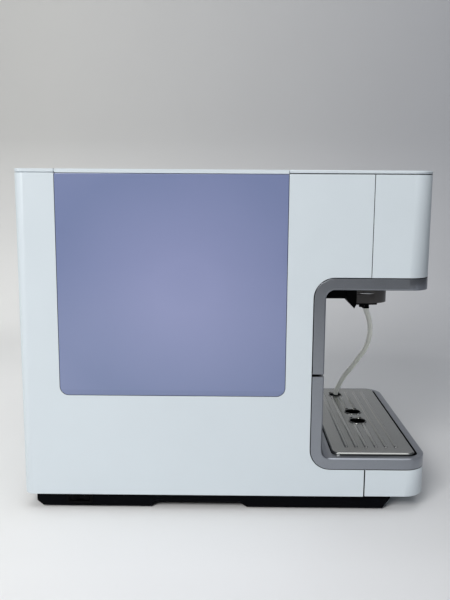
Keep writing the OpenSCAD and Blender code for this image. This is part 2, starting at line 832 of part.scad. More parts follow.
// Moving lower part of the trim: rim, back wall, basin and the shelf behind the wall
module tray_tub() {
  x0 = shelf_x0;
  x1 = shelf_x1;
  shelf_y1 = grounds_y0 + grounds_len + 3;
  color("#8b8f96") difference() {
    union() {
      trim_band(0, tray_top_z, front_y);
      difference() {
        intersection() {
          along_x(-lining_x, lining_x) bay_band(lining_t, lining_t);
          upright(0, tray_top_z) plan(trim_t, front_y);
        }
        upright(0, bay_floor_z + 1) round_rect([-rim_x, basin_y0], [rim_x, basin_y1], 10);
      }
      upright(basin_z0, bay_floor_z - 1.5) difference() {
        round_rect([-rim_x - 2.5, basin_y0 - 2.5], [rim_x + 2.5, basin_y1 + 2.5], 12.5);
        round_rect([-rim_x, basin_y0], [rim_x, basin_y1], 10);
      }
      upright(basin_z0, basin_z0 + 2) round_rect([-rim_x, basin_y0], [rim_x, basin_y1], 10);
      upright(ledge_z - 3, ledge_z) difference() {
        round_rect([-rim_x - 1, basin_y0 - 1], [rim_x + 1, basin_y1 + 1], 11);
        round_rect([-rim_x + 5, basin_y0 + 5], [rim_x - 5, basin_y1 - 5], 6);
      }
      box([x0, bay_back_y - 6, bay_floor_z - 3], [x1, shelf_y1, bay_floor_z]);
      for (x = [x0, x1 - 2])
        box([x, bay_back_y + 1, bay_floor_z - eps], [x + 2, shelf_y1, bay_floor_z + 5]);
      for (x = [-90, 88])
        box([x, basin_y1 - 28, floor_z + 0.3], [x + 2, basin_y1 - 4, basin_z0 + eps]);
    }
    box([-far, trim_back_y - eps, -far], [x0, far, far]);
  }
}

// White cover under the tray, with the tabs that hold it to the basin
module tray_front_cover() {
  z0 = base_h + 0.3;
  z1 = bay_floor_z - sill_h - trim_gap;
  color("#dfe4ea") union() {
    intersection() {
      upright(z0, z1) plan_wall(wall, front_y);
      y_slab(-far, tray_cover_y1);
    }
    intersection() {
      upright(z0, z0 + 2) plan(1, front_y);
      y_slab(-far, tray_cover_y1);
    }
    for (x = [-70, 60])
      box([x, front_y + wall - eps, z0], [x + 10, basin_y0 - 2.5, z1 - 8]);
    for (x = [-70, 60])
      box([x, basin_y0 + 10, z0], [x + 10, basin_y0 + 30, basin_z0]);
  }
}

module grounds_container() {
  t = 2;
  x0 = shelf_x0 + 2.5;
  x1 = shelf_x1 - 2.5;
  color("#2b2c30") difference() {
    box([x0, grounds_y0, bay_floor_z], [x1, grounds_y0 + grounds_len, bay_floor_z + grounds_h]);
    box([x0 + t, grounds_y0 + t, bay_floor_z + t],
      [x1 - t, grounds_y0 + grounds_len - t, bay_floor_z + grounds_h + 1]);
  }
}

// Section from a to b whose edges run in at 45 degrees from z0 to z1
module eased_section(a, b, z0, z1) {
  c = z1 - z0;
  polygon([[a, z0 - eps], [b, z0 - eps], [b, z0], [b - c, z1], [a + c, z1], [a, z0]]);
}

// Block with round corners in plan and its top edge cut back by c
module eased_block(lo, hi, r, z0, z1, c) {
  zc = z1 - c;
  upright(z0, zc) round_rect(lo, hi, r);
  translate([0, hi[1] - r, 0]) rotate([90, 0, 0]) linear_extrude(hi[1] - lo[1] - 2 * r)
    eased_section(lo[0], hi[0], zc, z1);
  along_x(lo[0] + r, hi[0] - r)
    eased_section(lo[1], hi[1], zc, z1);
  for (x = [lo[0] + r, hi[0] - r], y = [lo[1] + r, hi[1] - r])
    translate([x, y, zc]) cylinder(h = c, r1 = r, r2 = r - c);
}

// What the ribs leave free round a hole at (hx, hy)
module rib_clear(hx, hy, r) {
  rod_z(bay_floor_z, grid_top_z + 5, hx, hy, r + 3.4);
}

// Stainless plate with embossed ribs, two drains and the hose hole
module drip_grid() {
  rib_r = 2.9;
  rib_rise = 1.2;
  edge = 1.2;
  holes = [[-nozzle_pitch / 2, nozzle_y, drain_r], [nozzle_pitch / 2, nozzle_y, drain_r],
    [hose_hole_x, hose_hole_y, hose_hole_r]];
  color("#8d908e") difference() {
    union() {
      difference() {
        eased_block([-grid_x, grid_y0], [grid_x, grid_y1], grid_r, ledge_z + 0.3, grid_top_z, edge);
        upright(ledge_z, grid_top_z - grid_t)
          round_rect([-grid_x + grid_t, grid_y0 + grid_t], [grid_x - grid_t, grid_y1 - grid_t],
            grid_r - grid_t);
      }
      difference() {
        intersection() {
          union() for (k = [-2.5:2.5]) {
            y = grid_y + rib_pitch * k;
            rod_x(-rib_x, rib_x, y, grid_top_z + rib_rise - rib_r, rib_r);
            for (s = [-1, 1])
              translate([s * rib_x, y, grid_top_z + rib_rise - rib_r]) sphere(rib_r);
          }
          box([-far, -far, grid_top_z - 0.5], [far, far, far]);
        }
        for (h = holes)
          rib_clear(h[0], h[1], h[2]);
      }
      for (h = holes)
        translate([h[0], h[1], grid_top_z]) rotate_extrude()
          translate([h[2] + 0.9, 0]) circle(0.8);
    }
    for (h = holes)
      rod_z(bay_floor_z - 5, grid_top_z + 5, h[0], h[1], h[2]);
  }
}

// Walls of the bean hopper, on its funnel
module bean_hopper() {
  t = hopper_wall;
  color("#4a4d52") difference() {
    union() {
      box([hopper_x0, hopper_y0, funnel_top_z], [hopper_x1, hopper_y1, hopper_top_z]);
      box([hopper_x0 - 3, hopper_y0 - 3, hopper_top_z - 2.5],
        [hopper_x1 + 3, hopper_y1 + 3, hopper_top_z]);
    }
    box([hopper_x0 + t, hopper_y0 + t, funnel_top_z - 1],
      [hopper_x1 - t, hopper_y1 - t, hopper_top_z + 1]);
    box([hopper_x0 + t - 2, hopper_y0 + t - 2, hopper_top_z - 4.5],
      [hopper_x1 - t + 2, hopper_y1 - t + 2, hopper_top_z + 1]);
  }
}

// Floor of the bean hopper, which narrows to the grinder's throat
module hopper_funnel() {
  z0 = grinder_top_z;
  color("#4a4d52") difference() {
    box([hopper_x0, hopper_y0, z0], [hopper_x1, hopper_y1, funnel_top_z]);
    translate([grinder_x, grinder_y, z0 - eps])
      cylinder(h = funnel_h + 2 * eps, r1 = throat_r, r2 = funnel_r);
  }
}

module hopper_lid() {
  g = 0.4;
  x0 = hopper_x0 + hopper_wall - 2 + g;
  x1 = hopper_x1 - hopper_wall + 2 - g;
  y0 = hopper_y0 + hopper_wall - 2 + g;
  y1 = hopper_y1 - hopper_wall + 2 - g;
  z0 = hopper_top_z - 4.5;
  color("#3a3d42", 0.8) difference() {
    box([x0, y0, z0], [x1, y1, z0 + 4]);
    rod_z(z0 + 1.5, z0 + 10, (x0 + x1) / 2, (y0 + y1) / 2, 22);
  }
}

module grinder_body() {
  color("#3f4247") difference() {
    union() {
      rod_z(motor_top_z, grinder_top_z, grinder_x, grinder_y, grinder_r);
      for (a = [45:90:315])
        translate([grinder_x + (grinder_r + 2) * cos(a), grinder_y + (grinder_r + 2) * sin(a), motor_top_z])
          cylinder(h = 12, r = 5);
    }
    rod_z(chamber_z0, chamber_z1, grinder_x, grinder_y, chamber_r);
    rod_z(chamber_z1 - 1, grinder_top_z + 1, grinder_x, grinder_y, throat_r);
    rod_z(motor_top_z - 1, chamber_z0 + 1, grinder_x, grinder_y, spindle_r + fit);
    box([grinder_x + 20, grinder_y - 8, chute_z0], [grinder_x + grinder_r + 5, grinder_y + 8, chute_z1]);
    for (a = [0:30:330])
      translate([grinder_x + grinder_r * cos(a + 15), grinder_y + grinder_r * sin(a + 15), chamber_z0 + 20])
        cylinder(h = 20, r = 2);
  }
}

module upper_burr() {
  z1 = chamber_z1;
  color("#a7aaad") difference() {
    translate([grinder_x, grinder_y, 0]) rotate_extrude()
      polygon([[throat_r - 1, z1], [chamber_r, z1], [chamber_r, z1 - 15], [25, z1 - 17], [13.5, z1 - 6]]);
    for (a = [0:22.5:337.5])
      translate([grinder_x, grinder_y, z1 - 18.5]) rotate([0, -42, a]) translate([12, -0.8, -4])
        cube([20, 1.6, 4]);
  }
}

module lower_burr() {
  z1 = chamber_z1;
  color("#b3b6b9") union() {
    difference() {
      translate([grinder_x, grinder_y, 0]) rotate_extrude()
        polygon([[0, chamber_z0 + 6], [24, chamber_z0 + 6], [24, z1 - 18], [12, z1 - 6.8], [8, z1 - 4],
          [0, z1 - 4]]);
      for (a = [0:30:330])
        rotate_about_grinder(a) translate([22.6, -1, chamber_z0 + 5]) cube([5, 2, 12]);
    }
    rod_z(motor_top_z - 16, chamber_z0 + 6 + eps, grinder_x, grinder_y, spindle_r);
  }
}

module rotate_about_grinder(a) {
  translate([grinder_x, grinder_y, 0]) rotate([0, 0, a]) children();
}

module grinder_motor() {
  r = 33;
  color("#77797c") difference() {
    union() {
      rod_z(deck_z, motor_top_z, grinder_x, grinder_y, r);
      rod_z(deck_z, deck_z + 4, grinder_x, grinder_y, r + 6);
      rod_z(motor_top_z - 5, motor_top_z, grinder_x, grinder_y, r + 3);
      box([grinder_x - 8, grinder_y + r - 3, deck_z + 20], [grinder_x + 8, grinder_y + r + 6, deck_z + 45]);
    }
    rod_z(motor_top_z - 18, motor_top_z + 1, grinder_x, grinder_y, spindle_r + fit);
    for (a = [0:45:315])
      rotate_about_grinder(a + 22.5) translate([r - 1.2, -2, deck_z + 50]) cube([6, 4, 22]);
  }
}

// Sheet duct from the grinder to the top of the brew cylinder
module grounds_chute() {
  x0 = grinder_x + grinder_r - 1;
  x1 = brew_x - brew_r - 8;
  color("#202226") difference() {
    box([x0 + 1, grinder_y - 10, chute_z0], [x1, grinder_y + 10, chute_z1 + 2]);
    rod_z(chute_z0 - 5, chute_z1 + 5, grinder_x, grinder_y, grinder_r);
    box([x0 - 1, grinder_y - 8, chute_z0 + 2], [x1 + 1, grinder_y + 8, chute_z1]);
  }
}

// Frame of the brew unit: base plate, two posts, cylinder bracket and top plate
module brew_frame() {
  y0 = brew_y - 30;
  y1 = spindle_y + 18;
  z_top = brew_z1;
  color("#33353a") difference() {
    union() {
      box([brew_x - brew_hx, y0, deck_z], [brew_x + brew_hx, y1, deck_z + brew_plate_t]);
      box([brew_x - brew_hx, brew_y - 18, z_top], [brew_x + brew_hx, y1, z_top + brew_plate_t]);
      for (s = [-1, 1])
        rod_z(deck_z, z_top + 1, brew_x + s * 23, spindle_y, 5);
      box([brew_x - brew_hx, brew_y, brew_z0 + 20], [brew_x + brew_hx, spindle_y + 6, brew_z0 + 27]);
    }
    rod_z(brew_z0 - 1, brew_z1, brew_x, brew_y, brew_r + 5);
    rod_z(brew_z0, brew_z1 + 10, brew_x, spindle_y, spindle_r + 5);
    rod_z(deck_z + 1.5, deck_z + 10, brew_x, spindle_y, spindle_r + fit);
    box([brew_x - 9, brew_y - 40, brew_z1 - 1], [brew_x + 9, brew_y - 6, brew_z1 + 10]);
  }
}

module brew_cylinder() {
  color("#c9c2b2") difference() {
    union() {
      rod_z(brew_z0, brew_z1, brew_x, brew_y, brew_r + 5);
      rod_z(brew_z0, brew_z0 + 3, brew_x, brew_y, brew_r + 6.5);
    }
    rod_z(brew_z0 - 1, brew_z1 + 1, brew_x, brew_y, brew_r);
  }
}

module brew_piston() {
  z0 = deck_z + 6;
  arm_z1 = z0 + 7;
  color("#8a8170") difference() {
    union() {
      rod_z(brew_z0 + 2, brew_z0 + 10, brew_x, brew_y, brew_r - fit);
      rod_z(z0, brew_z0 + 2 + eps, brew_x, brew_y, 6);
      box([brew_x - 6, brew_y, z0], [brew_x + 6, spindle_y, arm_z1]);
      rod_z(z0, z0 + 14, brew_x, spindle_y, 10);
    }
    rod_z(z0 - 1, z0 + 20, brew_x, spindle_y, spindle_r + fit);
    translate([brew_x, brew_y, brew_z0 + 6]) rotate_extrude()
      translate([brew_r, 0]) circle(1.1);
  }
}

module brew_spindle() {
  color("#b0b3b6") difference() {
    union() {
      rod_z(deck_z + 1.8, brew_z1 + 14, brew_x, spindle_y, spindle_r);
      rod_z(brew_z1 - 7, brew_z1 - 3, brew_x, spindle_y, spindle_r + 3);
    }
    box([brew_x + spindle_r - 1, spindle_y - 6, brew_z1 + 7],
      [brew_x + spindle_r + 2, spindle_y + 6, brew_z1 + 20]);
  }
}

module brew_motor() {
  z0 = brew_z1 + brew_plate_t;
  color("#6c6f73") difference() {
    union() {
      rod_z(z0, z0 + 12, brew_x, spindle_y, 18);
      rod_z(z0 + 12 - eps, z0 + 40, brew_x, spindle_y, 14);
      rod_z(z0 + 40 - eps, z0 + 43, brew_x, spindle_y, 5);
    }
    rod_z(z0 - 1, brew_z1 + 16, brew_x, spindle_y, spindle_r + fit);
  }
}

// Slide that drops the spent pucks through the deck into the container
module puck_chute() {
  y0 = bulkhead_y + 5;
  y1 = brew_y - brew_r - 7.5;
  z1 = brew_z1 - 4;
  color("#25272b") union() {
    for (s = [-1, 1])
      along_x(brew_x + s * 20.5 - 0.75, brew_x + s * 20.5 + 0.75)
        polygon([[y0, deck_z], [y0 + 10, deck_z], [y1, z1 - 12], [y1, z1], [y0, deck_z + 40]]);
    along_x(brew_x - 20.5, brew_x + 20.5)
      polygon([[y0 + 8.5, deck_z], [y0 + 10, deck_z], [y1, z1 - 12], [y1, z1 - 9]]);
  }
}

module boiler(x, y, r, h) {
  z0 = deck_z;
  difference() {
    union() {
      rod_z(z0 + 6, z0 + 6 + h, x, y, r);
      rod_z(z0, z0 + 6 + eps, x, y, r - 8);
      for (s = [-1, 1])
        rod_z(z0 + 6 + h - eps, z0 + 18 + h, x + s * r / 2, y, 4);
      for (z = [z0 + 20, z0 + h - 6])
        rod_z(z, z + 3, x, y, r + 1.5);
      box([x - r - 9, y - 10, z0 + h / 2 - 12], [x - r + 3, y + 10, z0 + h / 2 + 12]);
    }
    for (s = [-1, 1])
      rod_z(z0 + h - 4, z0 + 20 + h, x + s * r / 2, y, 2);
  }
}

module coffee_boiler() {
  color("#b5b8bb") boiler(-24, boiler_y, 25, 92);
}

module steam_boiler() {
  color("#a98a5c") boiler(44, boiler_y + 6, 22, 110);
}

module water_pump() {
  x = -12;
  y = window_y1 - 30;
  z = floor_z + 26;
  color("#3a3c40") union() {
    box([x - 20, y - 22, z - 20], [x + 20, y + 22, z + 20]);
    box([x - 26, y - 12, floor_z], [x + 26, y + 12, floor_z + 7]);
    rod_y(y - 48, y + 46, x, z, 9);
    rod_y(y - 60, y - 48 + eps, x, z, 4);
    rod_y(y + 46 - eps, y + 58, x, z, 4);
  }
}

module flow_meter() {
  x0 = divider_x + sheet;
  color("#e9e6dd") union() {
    rod_x(x0, x0 + 12, dock_y - 50, dock_z + 20, 16);
    rod_y(dock_y - 76, dock_y - 24, x0 + 6, dock_z + 34, 3.2);
  }
}

// Spigot that the tank's outlet slides onto, fixed through the divider
module tank_dock() {
  color("#d9dcdf") difference() {
    union() {
      rod_x(divider_x - 2, divider_x, dock_y, dock_z, 14);
      rod_x(divider_x - eps, divider_x + sheet + eps, dock_y, dock_z, 8);
      rod_x(divider_x - 11, divider_x - 2 + eps, dock_y, dock_z, spigot_r);
      rod_x(divider_x + sheet, divider_x + sheet + 3, dock_y, dock_z, 12);
      rod_x(divider_x + sheet + 3 - eps, divider_x + sheet + 16, dock_y, dock_z, 4);
    }
    rod_x(divider_x - 20, divider_x + 40, dock_y, dock_z, 2.4);
  }
}

// Tinted outer face of the water tank
module tank_panel() {
  color("#8d95ba") along_x(-side_x, -in_x) window(seam / 2, panel_top_z);
}

module water_tank() {
  t = tank_wall;
  color("#aab3d0", 0.5) difference() {
    union() {
      along_x(tank_x0, tank_x1) window(1, tank_top_z);
      rod_x(tank_x1 - 11.5, tank_x1 - t + eps, dock_y, dock_z, 11);
    }
    along_x(tank_x0 + t, tank_x1 - t) difference() {
      window(1 + t, far);
      translate([dock_y, dock_z]) circle(11);
    }
    along_x(tank_x0 + t, tank_x1 - 11.5) window(1 + t, far);
    rod_x(tank_x1 - 20, tank_x1 + 1, dock_y, dock_z, 8);
  }
}

module tank_valve() {
  color("#2d5f8a") difference() {
    union() {
      rod_x(tank_x1 - 14, tank_x1, dock_y, dock_z, 8);
      rod_x(tank_x1 - 14.5, tank_x1 - 11.5, dock_y, dock_z, 10.5);
    }
    rod_x(tank_x1 - 11, tank_x1 + 1, dock_y, dock_z, port_r);
    rod_x(tank_x1 - 16, tank_x1 + 1, dock_y, dock_z, 2.5);
  }
}

module tank_cap() {
  z0 = tank_top_z;
  y0 = window_y0 + 1.2;
  y1 = window_y1 - 1.2;
  ym = (y0 + y1) / 2;
  xm = (tank_x0 + tank_x1) / 2;
  color("#c9cdd6") difference() {
    union() {
      box([tank_x0 + 0.3, y0, z0], [tank_x1, y1, z0 + 2.2]);
      box([tank_x0 + tank_wall + 0.4, y0 + tank_wall + 0.6, z0 - 3],
        [tank_x1 - tank_wall - 0.4, y1 - tank_wall - 0.6, z0 + eps]);
      rod_z(z0, z0 + 4, xm, ym + 55, 26);
    }
    rod_z(z0 + 1.4, z0 + 6, xm, ym + 55, 22);
    box([tank_x0 + tank_wall + 2.4, y0 + tank_wall + 2.6, z0 - 4],
      [tank_x1 - tank_wall - 2.4, y1 - tank_wall - 2.6, z0]);
  }
}

module fan_frame() {
  h = fan_w / 2;
  color("#1d1e21") difference() {
    union() {
      difference() {
        box([fan_x - h, fan_y0, fan_z - h], [fan_x + h, fan_y1, fan_z + h]);
        rod_y(fan_y0 - 1, fan_y1 + 1, fan_x, fan_z, h - 3);
      }
      rod_y(fan_y0, fan_y0 + 4, fan_x, fan_z, 12);
      for (a = [45, 135])
        translate([fan_x, 0, fan_z]) rotate([0, a, 0]) box([-h + 1, fan_y0, -2], [h - 1, fan_y0 + 3, 2]);
      rod_y(fan_y0, fan_y1 - 7.5, fan_x, fan_z, 3);
    }
    for (x = [4.5 - h, h - 4.5], z = [4.5 - h, h - 4.5])
      rod_y(fan_y0 - 1, fan_y1 + 1, fan_x + x, fan_z + z, 2);
  }
}

module fan_rotor() {
  y0 = fan_y0 + 5;
  y1 = fan_y1 - 5;
  color("#26282c") difference() {
    union() {
      rod_y(y0, y1, fan_x, fan_z, 15);
      for (a = [0:360 / 7:359])
        translate([fan_x, (y0 + y1) / 2, fan_z]) rotate([0, a, 0]) rotate([38, 0, 0])
          translate([13, -0.9, -7]) cube([21.5, 1.8, 14]);
    }
    rod_y(y0 - 1, y1 - 2, fan_x, fan_z, 3 + fit);
  }
}

module power_board() {
  x0 = 30;
  x1 = shelf_x1 - 10;
  y0 = grounds_y0 + grounds_len + 30;
  y1 = rear_y - 30;
  z0 = floor_z + 5;
  color("#2a5f8c") union() {
    for (x = [x0 + 5, x1 - 5], y = [y0 + 5, y1 - 5])
      rod_z(floor_z, z0 + eps, x, y, 3);
    box([x0, y0, z0], [x1, y1, z0 + 1.6]);
    box([x0 + 10, y0 + 12, z0 + 1.6 - eps], [x0 + 42, y0 + 40, z0 + 28]);
    for (k = [0:3])
      rod_z(z0 + 1.6 - eps, z0 + 24, x1 - 16, y0 + 16 + 18 * k, 7);
    box([x0 + 8, y1 - 26, z0 + 1.6 - eps], [x0 + 48, y1 - 10, z0 + 14]);
  }
}

module power_inlet() {
  y1 = rear_y;
  color("#141517") difference() {
    union() {
      box([inlet_x - 24.7, y1 - 1.5, inlet_z - 13.7], [inlet_x + 24.7, y1, inlet_z + 13.7]);
      box([inlet_x - 15, y1 - 24, inlet_z - 11], [inlet_x + 15, y1 - 1.5 + eps, inlet_z + 11]);
    }
    box([inlet_x - 12.5, y1 - 18, inlet_z - 8.5], [inlet_x + 12.5, y1 + 1, inlet_z + 8.5]);
    for (s = [-1, 1])
      rod_y(y1 - 5, y1 + 1, inlet_x + s * 20, inlet_z, 1.7);
  }
}

// Socket for the rocker, let into the left wall of the base
module switch_housing() {
  x0 = -base_x - 0.8;
  x1 = -base_x + 18;
  l = switch_len / 2;
  h = switch_h / 2;
  color("#111214") difference() {
    union() {
      box([x0, switch_y - l + 0.1, switch_z - h + 0.1], [x1, switch_y + l - 0.1, switch_z + h - 0.1]);
      box([x0, switch_y - l - 1.5, switch_z - h - 1], [-base_x, switch_y + l + 1.5, switch_z + h + 1]);
    }
    box([x0 - 1, switch_y - l + 2, switch_z - h + 1.6], [x1 - 3, switch_y + l - 2, switch_z + h - 1.6]);
    rod_z(switch_z - h + 0.8, switch_z + h - 0.8, rocker_x, switch_y, 1.2 + fit);
  }
}

// Two-sided rocker on its own upright pivot
module rocker() {
  l = switch_len / 2 - 2.9;
  h = switch_h / 2 - 2;
  x0 = -base_x - 0.2;
  color("#1b1c1f") union() {
    upright(switch_z - h, switch_z + h) polygon([[x0 + 1.2, switch_y - l], [x0 + 2.6, switch_y],
      [x0 - 0.4, switch_y + l], [rocker_x + 1.5, switch_y + l * 0.7], [rocker_x + 3, switch_y],
      [rocker_x + 1.5, switch_y - l * 0.7]]);
    rod_z(switch_z - h - 1, switch_z + h + 1, rocker_x, switch_y, 1.2);
  }
}

base_pan();
rubber_feet();
chassis();
left_side_panel();
right_side_panel();
rear_panel();
rear_top_cover();
front_top_cover();
front_fascia();
display_glass();
display_module();
control_board();
upper_trim();
bay_lining();
spout_arm();
spout_guide();
bean_hopper();
hopper_funnel();
hopper_lid();
grinder_body();
upper_burr();
grinder_motor();
grounds_chute();
brew_frame();
brew_cylinder();
brew_motor();
puck_chute();
coffee_boiler();
steam_boiler();
water_pump();
flow_meter();
tank_dock();
fan_frame();
power_board();
power_inlet();
switch_housing();
panel_screws();
lid_hinge_pins();
door_hinge_pins();
top_lid();
service_door();
tank_panel();
water_tank();
tank_cap();
tank_valve();
tray_tub();
tray_front_cover();
grounds_container();
drip_grid();
spout_housing();
spout_hood();
spout_stem();
spout_nozzles();
milk_barb();
milk_hose();
rocker();
fan_rotor();
lower_burr();
brew_spindle();
brew_piston();
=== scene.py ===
"""Looks, extra pieces, stage, lights and camera of an automatic coffee machine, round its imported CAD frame."""
import json
import math

import bmesh
import bpy
from mathutils import Matrix, Vector


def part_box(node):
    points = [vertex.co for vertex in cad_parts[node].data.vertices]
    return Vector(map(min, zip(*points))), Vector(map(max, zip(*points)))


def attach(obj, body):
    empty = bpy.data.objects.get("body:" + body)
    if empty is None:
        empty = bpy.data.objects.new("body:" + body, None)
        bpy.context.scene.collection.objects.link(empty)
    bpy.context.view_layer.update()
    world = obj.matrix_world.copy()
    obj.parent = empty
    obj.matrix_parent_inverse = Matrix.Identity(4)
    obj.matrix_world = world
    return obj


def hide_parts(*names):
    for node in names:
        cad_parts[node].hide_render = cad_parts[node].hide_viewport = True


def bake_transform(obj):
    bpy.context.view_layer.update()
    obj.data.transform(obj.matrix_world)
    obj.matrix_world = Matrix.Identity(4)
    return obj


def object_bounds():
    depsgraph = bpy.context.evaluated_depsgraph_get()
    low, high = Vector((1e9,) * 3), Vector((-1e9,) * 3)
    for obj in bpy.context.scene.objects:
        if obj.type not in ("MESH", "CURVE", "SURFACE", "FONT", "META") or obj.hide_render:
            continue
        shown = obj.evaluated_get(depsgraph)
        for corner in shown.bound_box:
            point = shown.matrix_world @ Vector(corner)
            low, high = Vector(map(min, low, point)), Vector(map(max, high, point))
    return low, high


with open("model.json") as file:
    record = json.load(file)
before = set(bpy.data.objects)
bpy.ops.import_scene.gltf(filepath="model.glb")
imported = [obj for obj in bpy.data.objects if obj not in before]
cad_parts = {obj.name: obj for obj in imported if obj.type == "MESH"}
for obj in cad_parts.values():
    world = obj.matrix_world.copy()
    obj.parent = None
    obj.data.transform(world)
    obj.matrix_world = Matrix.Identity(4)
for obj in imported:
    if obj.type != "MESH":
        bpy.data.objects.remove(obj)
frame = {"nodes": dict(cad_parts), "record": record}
CAD_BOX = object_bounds()
SCENE = bpy.context.scene


# ---------------------------------------------------------------- camera

CAMERA_AT = Vector((-0.9097, -0.0039, 0.363))
CAMERA_PITCH = math.radians(-8.98)
CAMERA_YAW = math.radians(0.39)
CAMERA_ROLL = math.radians(0.37)
CAMERA_LENS = 43.0


def make_camera():
    """A camera that looks along +X at the machine's left side."""
    data = bpy.data.cameras.new("camera")
    data.sensor_fit = "VERTICAL"
    data.sensor_width = 36.0
    data.sensor_height = 36.0
    data.lens = CAMERA_LENS
    data.clip_start = 0.01
    data.clip_end = 20.0
    camera = bpy.data.objects.new("camera", data)
    SCENE.collection.objects.link(camera)
    look = Vector((math.cos(CAMERA_PITCH) * math.cos(CAMERA_YAW),
                   math.cos(CAMERA_PITCH) * math.sin(CAMERA_YAW),
                   math.sin(CAMERA_PITCH)))
    right = look.cross(Vector((0, 0, 1))).normalized()
    up = right.cross(look)
    tilt = Matrix.Rotation(-CAMERA_ROLL, 3, look)
    right, up = tilt @ right, tilt @ up
    turn = Matrix((right, up, -look)).transposed()
    camera.matrix_world = Matrix.Translation(CAMERA_AT) @ turn.to_4x4()
    SCENE.camera = camera


make_camera()


# ---------------------------------------------------------------- mesh helpers

def new_object(name, bm, material, body, smooth=True):
    """Turns a bmesh into an object that rides on a body and takes its finish from a slot."""
    bmesh.ops.remove_doubles(bm, verts=bm.verts, dist=1e-7)
    bmesh.ops.recalc_face_normals(bm, faces=bm.faces)
    mesh = bpy.data.meshes.new(name)
    bm.to_mesh(mesh)
    bm.free()
    for polygon in mesh.polygons:
        polygon.use_smooth = smooth
    mesh.materials.append(material)
    piece = bpy.data.objects.new(name, mesh)
    SCENE.collection.objects.link(piece)
    if body:
        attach(piece, body)
    return piece


def smooth_path(points, steps):
    """Points along a smooth curve through the given ones."""
    pts = [Vector(p) for p in points]
    out = []
    for i in range(len(pts) - 1):
        p0 = pts[max(i - 1, 0)]
        p1, p2 = pts[i], pts[i + 1]
        p3 = pts[min(i + 2, len(pts) - 1)]
        for k in range(steps):
            t = k / steps
            out.append(0.5 * (2 * p1 + (p2 - p0) * t + (2 * p0 - 5 * p1 + 4 * p2 - p3) * t ** 2
                              + (3 * p1 - p0 - 3 * p2 + p3) * t ** 3))
    out.append(pts[-1])
    return out


def relax(points, rounds):
    """The same path with its small kinks evened out; its two ends stay."""
    pts = [Vector(p) for p in points]
    for _ in range(rounds):
        pts = [pts[0]] + [(a + 2 * b + c) / 4 for a, b, c in zip(pts, pts[1:], pts[2:])] + [pts[-1]]
    return pts


def tube(path, radius, sides, bore=0.0):
    """A round tube along a path, closed at its ends; with a bore its ends are rings."""
    bm = bmesh.new()
    tangent = (path[1] - path[0]).normalized()
    side = tangent.orthogonal().normalized()
    outer, inner = [], []
    for i, p in enumerate(path):
        ahead = path[min(i + 1, len(path) - 1)] - path[max(i - 1, 0)]
        turn = tangent.rotation_difference(ahead.normalized())
        tangent = ahead.normalized()
        side = (turn @ side).normalized()
        across = tangent.cross(side)
        ring = [math.cos(a) * side + math.sin(a) * across
                for a in (2 * math.pi * k / sides for k in range(sides))]
        outer.append([bm.verts.new(p + radius * d) for d in ring])
        if bore:
            inner.append([bm.verts.new(p + bore * d) for d in ring])
    for rings in filter(None, (outer, inner)):
        for a, b in zip(rings, rings[1:]):
            for k in range(sides):
                bm.faces.new((a[k], a[(k + 1) % sides], b[(k + 1) % sides], b[k]))
    if bore:
        for o, i in ((outer[0], inner[0]), (outer[-1], inner[-1])):
            for k in range(sides):
                bm.faces.new((o[k], o[(k + 1) % sides], i[(k + 1) % sides], i[k]))
    else:
        bm.faces.new(outer[0])
        bm.faces.new(outer[-1])
    return bm


def lathe(bm, profile, centre, axis, sides=48):
    """Turns a closed (radius, height) profile round an axis through centre; adds it to bm."""
    axis = Vector(axis).normalized()
    side = axis.orthogonal().normalized()
    across = axis.cross(side)
    rings = []
    for radius, height in profile:
        base = Vector(centre) + axis * height
        if radius < 1e-7:
            rings.append([bm.verts.new(base)])
            continue
        rings.append([bm.verts.new(base + radius * (math.cos(a) * side + math.sin(a) * across))
                      for a in (2 * math.pi * k / sides for k in range(sides))])
    for a, b in zip(rings, rings[1:]):
        for k in range(sides):
            j = (k + 1) % sides
            if len(a) == 1 and len(b) == 1:
                continue
            if len(a) == 1:
                bm.faces.new((a[0], b[j], b[k]))
            elif len(b) == 1:
                bm.faces.new((a[k], a[j], b[0]))
            else:
                bm.faces.new((a[k], a[j], b[j], b[k]))
    return bm


# ---------------------------------------------------------------- materials

def rgb(r, g, b):
    """The linear colour of a display colour given as three values from 0 to 255."""
    def linear(c):
        c /= 255
        return c / 12.92 if c <= 0.04045 else ((c + 0.055) / 1.055) ** 2.4
    return (linear(r), linear(g), linear(b), 1.0)


def shade(colour, k):
    """The colour, k times as bright."""
    return tuple(min(1.0, c * k) for c in colour[:3]) + (1.0,)


